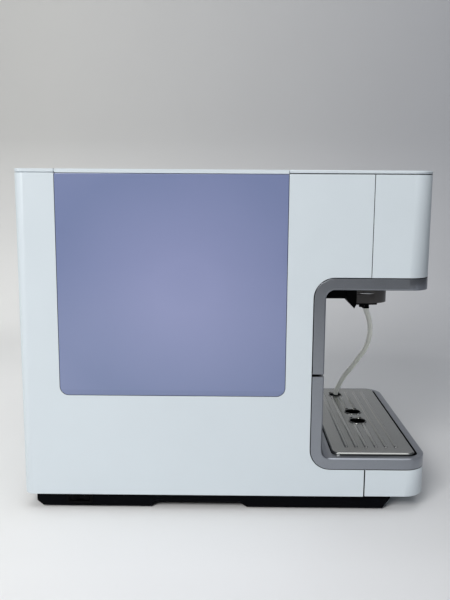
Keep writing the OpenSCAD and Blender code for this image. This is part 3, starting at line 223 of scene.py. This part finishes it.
class Look:
    """A procedural material on the Principled shader, in metres of the machine's own frame."""

    def __init__(self, name, **sockets):
        self.material = bpy.data.materials.new(name)
        self.material.use_nodes = True
        self.tree = self.material.node_tree
        self.shader = self.tree.nodes["Principled BSDF"]
        for socket, value in sockets.items():
            self.shader.inputs[socket.replace("_", " ")].default_value = value
        self.place = self.tree.nodes.new("ShaderNodeTexCoord").outputs["Object"]

    def node(self, kind, out=0, links=(), **props):
        made = self.tree.nodes.new(kind)
        for key, value in props.items():
            if key in made.inputs:
                made.inputs[key].default_value = value
            else:
                setattr(made, key, value)
        for socket, source in links:
            self.tree.links.new(source, made.inputs[socket])
        return made.outputs[out]

    def stretched(self, scale):
        return self.node("ShaderNodeMapping", links=[("Vector", self.place)], Scale=scale)

    def noise(self, scale, detail=2.0, stretch=None, rough=0.5):
        """Noise with about scale features to the metre, in any direction or stretched."""
        where = self.stretched(stretch) if stretch else self.place
        return self.node("ShaderNodeTexNoise", links=[("Vector", where)],
                         Scale=scale, Detail=detail, Roughness=rough)

    def cells(self, scale, feature="F1"):
        return self.node("ShaderNodeTexVoronoi", links=[("Vector", self.place)], feature=feature, Scale=scale)

    def remap(self, source, low, high, start=0.3, end=0.7):
        made = self.tree.nodes.new("ShaderNodeMapRange")
        for key, value in (("From Min", start), ("From Max", end), ("To Min", low), ("To Max", high)):
            made.inputs[key].default_value = value
        self.tree.links.new(source, made.inputs["Value"])
        return made.outputs["Result"]

    def blend(self, factor, a, b):
        """Colour a where the factor is 0 and b where it is 1; a or b may be a socket."""
        made = self.tree.nodes.new("ShaderNodeMix")
        made.data_type = "RGBA"
        self.tree.links.new(factor, made.inputs[0])
        for index, value in ((6, a), (7, b)):
            if isinstance(value, tuple):
                made.inputs[index].default_value = value
            else:
                self.tree.links.new(value, made.inputs[index])
        return made.outputs[2]

    def height(self, axis):
        """One coordinate of the place, in metres."""
        parts = self.tree.nodes.new("ShaderNodeSeparateXYZ")
        self.tree.links.new(self.place, parts.inputs[0])
        return parts.outputs[axis]

    def colour(self, source):
        self.tree.links.new(source, self.shader.inputs["Base Color"])
        return self

    def roughness(self, source):
        self.tree.links.new(source, self.shader.inputs["Roughness"])
        return self

    def bump(self, source, distance, strength=1.0):
        """Raises the surface by up to distance metres where the source is high."""
        previous = self.shader.inputs["Normal"]
        made = self.tree.nodes.new("ShaderNodeBump")
        made.inputs["Strength"].default_value = strength
        made.inputs["Distance"].default_value = distance
        self.tree.links.new(source, made.inputs["Height"])
        if previous.is_linked:
            self.tree.links.new(previous.links[0].from_socket, made.inputs["Normal"])
        self.tree.links.new(made.outputs[0], previous)
        return self


def moulded(name, colour, low, high, grain=1800, grain_mm=0.02, vary=0.03, drift=9, **sockets):
    """Moulded plastic: a fine eroded grain, slow drift of colour and patches of uneven gloss."""
    look = Look(name, **sockets)
    slow = look.noise(drift, 3.0)
    fine = look.noise(grain, 3.0, rough=0.6)
    tone = look.blend(look.remap(slow, 0.0, 1.0), shade(colour, 1 - vary), shade(colour, 1 + vary))
    speck = look.remap(fine, 0.0, 0.25, 0.55, 0.75)
    look.colour(look.blend(speck, tone, shade(colour, 0.93)))
    look.roughness(look.remap(look.noise(drift * 4, 4.0), low, high))
    look.bump(fine, grain_mm / 1000)
    return look


def brushed(name, colour, low, high, along=(4, 420, 420), metallic=1.0, line_mm=0.004, vary=0.08, **sockets):
    """Brushed or drawn metal: long fine lines along one axis, in its tone, gloss and height."""
    look = Look(name, Metallic=metallic, **sockets)
    lines = look.noise(1.0, 4.0, stretch=along, rough=0.65)
    slow = look.noise(14, 2.0)
    tone = look.blend(look.remap(lines, 0.0, 1.0, 0.35, 0.65), shade(colour, 1 - vary), shade(colour, 1 + vary))
    look.colour(look.blend(look.remap(slow, 0.0, 0.35), tone, shade(colour, 0.9)))
    look.roughness(look.remap(lines, low, high, 0.3, 0.7))
    look.bump(lines, line_mm / 1000)
    return look


def flaked(name, colour, low, high, **sockets):
    """Metallic lacquer: small flakes that differ in brightness under a faint orange peel."""
    look = Look(name, **sockets)
    flakes = look.cells(2600)
    peel = look.noise(420, 2.0)
    slow = look.noise(7, 2.0)
    tone = look.blend(look.remap(flakes, 0.0, 1.0, 0.0, 0.7), shade(colour, 1.1), shade(colour, 0.9))
    look.colour(look.blend(look.remap(slow, 0.0, 0.4), tone, shade(colour, 0.94)))
    look.roughness(look.remap(look.noise(60, 3.0), low, high))
    look.bump(peel, 0.00002)
    return look


def glossy_panel(name, edge, sheen_middle, centre=(0.0, 0.0), sheen_reach=(0.5, 0.5), band_z=-1.0):
    """Coated acrylic: lighter round a centre (y, z) and darker outwards, a painted reflection; darker again below
    band_z.
    """
    look = Look(name, Coat_Weight=0.65, Coat_Roughness=0.06, Coat_IOR=1.5)
    scaled = look.node("ShaderNodeMapping", links=[("Vector", look.place)],
                       Location=(0.0, -centre[0] / sheen_reach[0], -centre[1] / sheen_reach[1]),
                       Scale=(0.0, 1 / sheen_reach[0], 1 / sheen_reach[1]))
    distance = look.node("ShaderNodeVectorMath", out=1, links=[("Vector", scaled)], operation="LENGTH")
    cloud = look.noise(5.5, 2.0, rough=0.4)
    # Painted reflection: the colour is lighter round the centre and darker towards the edges.
    tint = look.blend(look.remap(distance, 1.0, 0.0, 0.25, 1.15), edge, sheen_middle)
    drift = look.blend(look.remap(cloud, 0.0, 0.4), tint, shade(sheen_middle, 0.96))
    fade = look.remap(look.height(2), 0.3, 0.0, band_z - 0.0006, band_z + 0.0006)
    look.colour(look.blend(fade, drift, shade(edge, 0.82)))
    look.roughness(look.remap(look.noise(25, 1.0), 0.28, 0.32, 0.0, 1.0))
    look.bump(look.noise(160, 1.0), 0.000002)
    return look


def clear(name, colour, rough, ior, **sockets):
    """A see-through moulding: faint flow lines and slightly uneven gloss."""
    look = Look(name, IOR=ior, Transmission_Weight=0.9, **sockets)
    flow = look.noise(1.0, 3.0, stretch=(18, 18, 60))
    look.colour(look.blend(look.remap(flow, 0.0, 1.0), colour, shade(colour, 0.92)))
    look.roughness(look.remap(look.noise(40, 3.0), rough, rough + 0.06))
    look.bump(flow, 0.00008)
    return look


def rubbery(name, colour, rough=0.75):
    look = moulded(name, colour, rough - 0.06, rough + 0.08, grain=900, grain_mm=0.05, vary=0.08, drift=30)
    look.shader.inputs["Specular IOR Level"].default_value = 0.3
    return look


def circuit(name, colour):
    """Solder mask over copper: tracks and pads a shade lighter than the board between them."""
    look = Look(name, Coat_Weight=0.3, Coat_Roughness=0.15)
    tracks = look.node("ShaderNodeTexBrick", links=[("Vector", look.stretched((1, 1, 1)))], out=1,
                       Scale=60.0)
    cells = look.cells(260, "DISTANCE_TO_EDGE")
    mask = look.remap(cells, 1.0, 0.0, 0.04, 0.1)
    tone = look.blend(mask, colour, shade(colour, 1.7))
    look.colour(look.blend(look.remap(tracks, 0.0, 0.5, 0.0, 1.0), tone, shade(colour, 1.35)))
    look.roughness(look.remap(look.noise(120), 0.3, 0.45))
    look.bump(mask, 0.00005)
    return look


def lit_mark(name, colour):
    """Printed marks with a faint even glow behind them."""
    look = moulded(name, colour, 0.3, 0.4, vary=0.04)
    look.shader.inputs["Emission Color"].default_value = colour
    look.shader.inputs["Emission Strength"].default_value = 0.35
    return look


LOOKS = {
    "display_mark": lit_mark("display_mark", rgb(196, 206, 222)),
    "case_white": moulded("case_white", rgb(202, 211, 217), 0.34, 0.44, vary=0.012, grain_mm=0.012),
    # The panel's lighter middle and darker edges are a painted reflection; a darker band runs along its bottom.
    "panel_tint": glossy_panel("panel_tint", rgb(108, 121, 158), rgb(136, 143, 181), (0.045, 0.255), (0.13, 0.118),
                               0.1402),
    "trim_grey": flaked("trim_grey", rgb(152, 156, 163), 0.28, 0.34, Metallic=0.92),
    "base_black": moulded("base_black", rgb(4, 5, 8), 0.6, 0.72, grain=1200, grain_mm=0.05, vary=0.1,
                          Specular_IOR_Level=0.05),
    "black_plastic": moulded("black_plastic", rgb(3, 3, 4), 0.45, 0.6, vary=0.1, Specular_IOR_Level=0.06),
    "spout_grey": moulded("spout_grey", rgb(80, 77, 75), 0.3, 0.42, vary=0.05, Metallic=0.2),
    "rubber": rubbery("rubber", rgb(34, 34, 35)),
    "sheet_steel": brushed("sheet_steel", rgb(176, 180, 184), 0.32, 0.5, along=(30, 30, 30), vary=0.05),
    "stainless": brushed("stainless", rgb(160, 161, 158), 0.2, 0.27, along=(14, 1500, 1500), line_mm=0.0012,
                         vary=0.04),
    "pin_steel": brushed("pin_steel", rgb(190, 190, 190), 0.18, 0.3, along=(200, 900, 900)),
    # The display glass takes the same painted reflection, here a faint, nearly even gradient.
    "display_black": glossy_panel("display_black", rgb(9, 10, 12), rgb(15, 16, 19)),
    "tank_clear": clear("tank_clear", rgb(224, 232, 240), 0.05, 1.49),
    "tank_cover": moulded("tank_cover", rgb(196, 200, 206), 0.36, 0.46),
    "valve_blue": moulded("valve_blue", rgb(40, 86, 150), 0.35, 0.45, vary=0.06),
    "smoked": clear("smoked", rgb(96, 92, 88), 0.06, 1.49),
    "motor_grey": moulded("motor_grey", rgb(120, 122, 126), 0.4, 0.55, vary=0.05, Metallic=0.6),
    "aluminium": brushed("aluminium", rgb(198, 200, 203), 0.3, 0.46, along=(60, 60, 240)),
    "brass": brushed("brass", rgb(196, 160, 92), 0.25, 0.4, along=(240, 240, 60)),
    "burr_steel": brushed("burr_steel", rgb(160, 162, 166), 0.22, 0.36, along=(500, 500, 60)),
    "natural_plastic": moulded("natural_plastic", rgb(222, 220, 208), 0.4, 0.5),
    "pcb_green": circuit("pcb_green", rgb(22, 82, 48)),
    "pcb_blue": circuit("pcb_blue", rgb(24, 52, 110)),
    # Near-black and matt: the cords and the strip made of this finish are painted shadow in the gaps.
    "gap_shadow_black": moulded("gap_shadow_black", rgb(2, 2, 3), 0.7, 0.85, vary=0.1, Specular_IOR_Level=0.03),
    # The faint emission is a painted glow that lightens the hose, which sits in the shade of the head.
    "silicone": moulded("silicone", rgb(250, 250, 244), 0.3, 0.42, grain=1400, vary=0.01,
                        Transmission_Weight=0.55, IOR=1.3, Emission_Color=rgb(238, 243, 246),
                        Emission_Strength=0.05),
}


# ---------------------------------------------------------------- the milk hose

HOSE_DIAMETER = 0.0065
HOSE_BORE = 0.004
HOSE_ROUTE = [
    (0.008, -0.180, 0.209), (0.008, -0.181, 0.205), (0.010, -0.185, 0.196), (0.015, -0.188, 0.184),
    (0.023, -0.190, 0.172), (0.033, -0.190, 0.159), (0.045, -0.188, 0.145), (0.058, -0.183, 0.132),
    (0.071, -0.178, 0.117), (0.083, -0.171, 0.103), (0.091, -0.166, 0.091), (0.096, -0.162, 0.080),
    (0.098, -0.159, 0.072), (0.098, -0.158, 0.0664),
]


def make_hose():
    """The silicone milk hose, from the fitting under the spout to the hole in the drip plate."""
    path = relax(smooth_path(HOSE_ROUTE, 8), 24)
    bm = tube(path, HOSE_DIAMETER / 2, 28, HOSE_BORE / 2)
    hose = new_object("milk_hose_tube", bm, LOOKS["silicone"].material, None)
    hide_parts("milk_hose")
    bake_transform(hose)


make_hose()


# ---------------------------------------------------------------- the CAD nodes' own finish

EDGES = {
    "left_side_panel": 0.7, "right_side_panel": 0.7, "front_fascia": 0.8, "tray_front_cover": 0.8,
    "front_top_cover": 0.9, "top_lid": 0.9, "rear_top_cover": 0.9, "rear_panel": 0.4, "service_door": 0.7,
    "tank_panel": 0.8, "upper_trim": 0.9, "tray_tub": 0.9, "drip_grid": 0.35, "base_pan": 0.8,
    "spout_housing": 0.6, "spout_hood": 0.5, "spout_nozzles": 0.3, "spout_arm": 0.6, "bay_lining": 0.5,
    "display_glass": 0.4, "switch_housing": 0.3, "rocker": 0.3, "rubber_feet": 0.3, "hopper_lid": 0.5,
    "tank_cap": 0.4, "bean_hopper": 0.4, "water_tank": 0.5, "grounds_container": 0.5, "power_inlet": 0.3,
}


def soften(node, width_mm):
    """Rounds a CAD node's sharp edges by a small radius, so that they catch the light."""
    weld = node.modifiers.new("weld", "WELD")
    weld.merge_threshold = 2e-6
    flat = node.modifiers.new("flat", "DECIMATE")
    flat.decimate_type = "DISSOLVE"
    flat.angle_limit = math.radians(0.4)
    bevel = node.modifiers.new("edge", "BEVEL")
    bevel.width = width_mm / 1000
    bevel.segments = 3
    bevel.limit_method = "ANGLE"
    bevel.angle_limit = math.radians(40)
    bevel.use_clamp_overlap = True
    bevel.harden_normals = True


def finish_nodes():
    slots = {part["node"]: part["material_slot"] for part in frame["record"]["subparts"]}
    for name, node in frame["nodes"].items():
        node.data.materials.clear()
        node.data.materials.append(LOOKS[slots[name]].material)
        if name in EDGES:
            soften(node, EDGES[name])


finish_nodes()


# ---------------------------------------------------------------- dark cords painted as gap shadow, spout and display details

SIDE_X = -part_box("left_side_panel")[0].x
HEAD_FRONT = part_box("front_fascia")[0].y
TRAY_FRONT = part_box("tray_front_cover")[0].y
TRIM_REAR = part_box("upper_trim")[1].y
TRIM_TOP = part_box("upper_trim")[1].z
SPLIT_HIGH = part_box("upper_trim")[0].z
SPLIT_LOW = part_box("tray_tub")[1].z
COVER_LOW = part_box("tray_front_cover")[1].z
FLOOR_Z = 0.063
SIDE_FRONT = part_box("left_side_panel")[0].y
SIDE_LOW, SIDE_HIGH = (c.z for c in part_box("left_side_panel"))
COVER_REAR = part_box("front_top_cover")[1].y
TRIM_GAP = 0.0009
GROOVE = 0.0008
TOP_THICKNESS = 0.0035
TRIM_BEND = 0.0221
CASE_CORNER = 0.025
SEAM = 0.0006
WINDOW_CORNER = 0.010


def arc(centre, radius, start, end, steps=10):
    """Points (u, v) on an arc, with its angles in degrees."""
    angles = [math.radians(start + (end - start) * k / steps) for k in range(steps + 1)]
    return [(centre[0] + radius * math.cos(a), centre[1] + radius * math.sin(a)) for a in angles]


def side_line(s, points, depth):
    """Points (y, z) on one side of the case, depth under its face."""
    return [Vector((s * (SIDE_X - depth), y, z)) for y, z in points]


def front_line(front, z, depth):
    """The line round the case's front from the left side to the right, depth under its face."""
    r = CASE_CORNER - depth
    cx, cy = SIDE_X - CASE_CORNER, front + CASE_CORNER
    plan = arc((-cx, cy), r, 180, 270) + arc((cx, cy), r, 270, 360)
    return [Vector((x, y, z)) for x, y in plan]


def gap_shadow_cord(name, points, body, radius):
    """A black round cord laid in a gap between two covers, painted shadow that darkens the gap."""
    return new_object(name, tube(points, radius, 10), LOOKS["gap_shadow_black"].material, body)


def make_gap_shadow_cords():
    """Black cords just under the face, painted shadow in the gap round the trim, in the seams and round the side
    panel.
    """
    back = TRIM_REAR + TRIM_GAP / 2
    high, low = TRIM_TOP + TRIM_GAP / 2, COVER_LOW + TRIM_GAP / 2
    bend = TRIM_BEND + TRIM_GAP / 2
    upper = [(back, SPLIT_HIGH + 0.0006)] + arc((back - bend, high - bend), bend, 0, 90)
    lower = [(back, SPLIT_LOW - 0.0006)] + arc((back - bend, low + bend), bend, 0, -90)
    deep = 0.0005
    gap_shadow_cord("trim_gap_shadow_upper", side_line(-1, upper, deep) + front_line(HEAD_FRONT, high, deep)
         + side_line(1, upper[::-1], deep), "root", 0.0005)
    head = SIDE_FRONT - 0.0003
    foot = (SIDE_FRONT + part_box("tray_front_cover")[1].y) / 2
    for s, side in ((-1, "left"), (1, "right")):
        gap_shadow_cord("trim_gap_shadow_lower_" + side, side_line(s, lower + [(SIDE_FRONT + 0.0004, low)], deep), "root", 0.00043)
        gap_shadow_cord("head_seam_shadow_" + side,
             side_line(s, [(head, high + 0.001), (head, SIDE_HIGH - 0.001)], 0.0004), "root", 0.0004)
        gap_shadow_cord("tray_seam_shadow_" + side,
             side_line(s, [(foot, SIDE_LOW + 0.0008), (foot, low - 0.0006)], 0.0006), "root", 0.0006)
    groove_z = CAD_BOX[1].z - TOP_THICKNESS - GROOVE / 2
    run = [(COVER_REAR, groove_z), (SIDE_FRONT, groove_z)]
    gap_shadow_cord("cover_groove_shadow", side_line(-1, run, deep) + front_line(HEAD_FRONT, groove_z, deep)
         + side_line(1, run[::-1], deep), "root", GROOVE / 2)
    front = front_line(TRAY_FRONT, low, deep)
    ends = [Vector((s * (SIDE_X - deep), SIDE_FRONT - 0.0018, low)) for s in (-1, 1)]
    gap_shadow_cord("trim_gap_shadow_tray", [ends[0]] + front + [ends[1]], "tray", 0.00043)
    window_low, window_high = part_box("tank_panel")
    y0, y1, z0 = window_low.y - SEAM / 2, window_high.y + SEAM / 2, window_low.z - SEAM / 2
    outline = ([(y0, window_high.z - 0.001)] + arc((y0 + WINDOW_CORNER, z0 + WINDOW_CORNER), WINDOW_CORNER, 180, 270)
               + arc((y1 - WINDOW_CORNER, z0 + WINDOW_CORNER), WINDOW_CORNER, 270, 360)
               + [(y1, window_high.z - 0.001)])
    gap_shadow_cord("window_gap_shadow", side_line(-1, outline, deep), "root", SEAM / 2)


def rounded(low, high, r):
    """Points round a rectangle with round corners, from corner (x, y) low to high."""
    corners = ((high.x, high.y, 0), (low.x, high.y, 90), (low.x, low.y, 180), (high.x, low.y, 270))
    out = []
    for x, y, start in corners:
        centre = (x - r if start in (0, 270) else x + r, y - r if start in (0, 90) else y + r)
        out += arc(centre, r, start, start + 90, 8)
    return out


def make_plate_gap_shadow():
    """A black strip on the tray's ledge, between the drip plate and the rim, painted shadow that darkens the gap
    there.
    """
    low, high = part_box("drip_grid")
    side, front, spare = 0.001, 0.0033, 0.00012
    inner = rounded(low - Vector((spare, spare, 0)), high + Vector((spare, spare, 0)), 0.009 + spare)
    outer = rounded(low - Vector((side - spare, front - spare, 0)), high + Vector((side - spare, side - spare, 0)),
                    0.010 - spare)
    foot, crown = FLOOR_Z - 0.0015, FLOOR_Z - 0.0003
    bm = bmesh.new()
    rows = [[bm.verts.new((x, y, z)) for x, y in line]
            for line, z in ((inner, foot), (inner, crown - 0.0003), (outer, crown), (outer, foot))]
    count = len(inner)
    for a, b in zip(rows, rows[1:] + rows[:1]):
        for k in range(count):
            j = (k + 1) % count
            bm.faces.new((a[k], a[j], b[j], b[k]))
    new_object("plate_gap_shadow", bm, LOOKS["gap_shadow_black"].material, "tray", smooth=False)


def make_spout_inlays():
    """A polished lens-shaped inlay in the finger groove on each side of the spout."""
    low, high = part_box("spout_housing")
    at_y, at_z = low.y + 0.0285, low.z + 0.0124
    for s, side in ((-1, "left"), (1, "right")):
        bm = bmesh.new()
        rows = []
        for i in range(25):
            t = -1 + i / 12
            half = 0.0011 * max(0.02, 1 - t * t)
            depth = 0.0007 * max(0.05, 1 - t * t)
            rows.append([bm.verts.new((s * (high.x - 0.0006 + depth * math.sin(a)),
                                       at_y + 0.0092 * t, at_z + half * math.cos(a)))
                         for a in (math.pi * k / 8 for k in range(9))]
                        + [bm.verts.new((s * (high.x - 0.0011), at_y + 0.0092 * t, at_z))])
        for a, b in zip(rows, rows[1:]):
            for k in range(len(a)):
                j = (k + 1) % len(a)
                bm.faces.new((a[k], a[j], b[j], b[k]))
        bm.faces.new(rows[0])
        bm.faces.new(list(reversed(rows[-1])))
        new_object("spout_inlay_" + side, bm, LOOKS["pin_steel"].material, "spout")


def ring_mark(bm, x, z, y, radius, width, sides=40):
    """A thin raised ring on the display glass, round (x, z)."""
    lathe(bm, [(radius - width, 0), (radius - width * 0.8, 0.00012), (radius - width * 0.2, 0.00012),
               (radius, 0), (radius - width, 0)], (x, y, z), (0, -1, 0), sides)


def make_display_marks():
    """Plain touch marks on the display glass: a row of rings, a dot in each, and a level bar under them."""
    low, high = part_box("display_glass")
    y, mid = low.y, (low.z + high.z) / 2
    bm = bmesh.new()
    for k in range(5):
        x = (k - 2) * 0.026
        ring_mark(bm, x, mid + 0.006, y, 0.0078, 0.0007)
        ring_mark(bm, x, mid + 0.006, y, 0.0022 + 0.0006 * k, 0.0006, 28)
    for k in range(9):
        ring_mark(bm, (k - 4) * 0.0085, mid - 0.0165, y, 0.0013, 0.0012, 16)
    new_object("display_marks", bm, LOOKS["display_mark"].material, "root")


make_gap_shadow_cords()
make_plate_gap_shadow()
make_spout_inlays()
make_display_marks()


# ---------------------------------------------------------------- stage and light

def make_stage():
    """A pale floor that sweeps up into a pale wall behind the machine, with painted shade in its colour."""
    bm = bmesh.new()
    near, turn, radius, top, half = -2.4, 0.75, 0.55, 3.2, 3.4
    profile = [(near, 0.0), (turn, 0.0)]
    profile += [(turn + radius * math.sin(a), radius * (1 - math.cos(a)))
                for a in (math.pi / 2 * k / 24 for k in range(1, 25))]
    profile.append((turn + radius, top))
    rows = [[bm.verts.new((x, y, z)) for y in (-half, half)] for x, z in profile]
    for a, b in zip(rows, rows[1:]):
        bm.faces.new((a[0], b[0], b[1], a[1]))
    look = Look("stage_paper_painted_shade")
    # Painted shade: the paper turns darker from the floor up the wall.
    paper_with_painted_shade = look.blend(look.remap(look.height(2), 0.0, 1.0, 0.0, 0.5), rgb(250, 250, 248), rgb(197, 197, 195))
    # Painted shade: darker towards -y, the side where the machine's shadow falls.
    side = look.blend(look.remap(look.height(1), 1.0, 0.0, -1.0, 0.6), paper_with_painted_shade, rgb(180, 182, 188))
    # Painted shade: darker on the floor from about the camera backwards, which also dims the light it bounces onto
    # the machine.
    near = look.blend(look.remap(look.height(0), 1.0, 0.0, -2.0, -0.7), side, rgb(120, 120, 119))
    look.colour(look.blend(look.remap(look.noise(3, 2.0), 0.0, 0.06), near, rgb(150, 152, 154)))
    look.roughness(look.remap(look.noise(300), 0.5, 0.6))
    look.bump(look.noise(700), 0.00003)
    mesh = bpy.data.meshes.new("stage_sweep")
    bm.to_mesh(mesh)
    bm.free()
    for polygon in mesh.polygons:
        polygon.use_smooth = True
    mesh.materials.append(look.material)
    floor = bpy.data.objects.new("stage_sweep", mesh)
    SCENE.collection.objects.link(floor)


def soft_light(name, at, aim, size, power, colour):
    data = bpy.data.lights.new(name, "AREA")
    data.shape = "RECTANGLE"
    data.size, data.size_y = size
    data.energy = power
    data.color = colour
    light = bpy.data.objects.new(name, data)
    SCENE.collection.objects.link(light)
    light.location = at
    light.rotation_mode = "QUATERNION"
    light.rotation_quaternion = (Vector(aim) - Vector(at)).to_track_quat("-Z", "Y")
    return light


# The room is dim at eye level and pale blue overhead; the key light stands at the upper left.
WORLD_LOW = (0.048, 0.049, 0.051, 1.0)
WORLD_HIGH = (0.175, 0.187, 0.204, 1.0)
LIGHTS = [
    ("key", (-2.3, 1.05, 1.75), (0, 0, 0.1), (1.1, 1.1), 66, (1.0, 0.99, 0.975)),
    ("top", (-0.4, 0.1, 2.3), (-0.4, 0.1, 0), (1.8, 2.2), 23, (0.98, 0.99, 1.0)),
]


def make_light():
    world = bpy.data.worlds.new("studio")
    world.use_nodes = True
    tree = world.node_tree
    back = tree.nodes["Background"]
    way = tree.nodes.new("ShaderNodeTexCoord")
    parts = tree.nodes.new("ShaderNodeSeparateXYZ")
    ramp = tree.nodes.new("ShaderNodeValToRGB")
    ramp.color_ramp.elements[0].position = 0.02
    ramp.color_ramp.elements[0].color = WORLD_LOW
    ramp.color_ramp.elements[1].position = 0.8
    ramp.color_ramp.elements[1].color = WORLD_HIGH
    tree.links.new(way.outputs["Generated"], parts.inputs[0])
    tree.links.new(parts.outputs["Z"], ramp.inputs[0])
    tree.links.new(ramp.outputs[0], back.inputs["Color"])
    back.inputs["Strength"].default_value = 1.0
    SCENE.world = world
    for name, at, aim, size, power, colour in LIGHTS:
        soft_light(name, at, aim, size, power, colour)


make_stage()
make_light()
SCENE.view_settings.view_transform = "Standard"
SCENE.view_settings.look = "None"
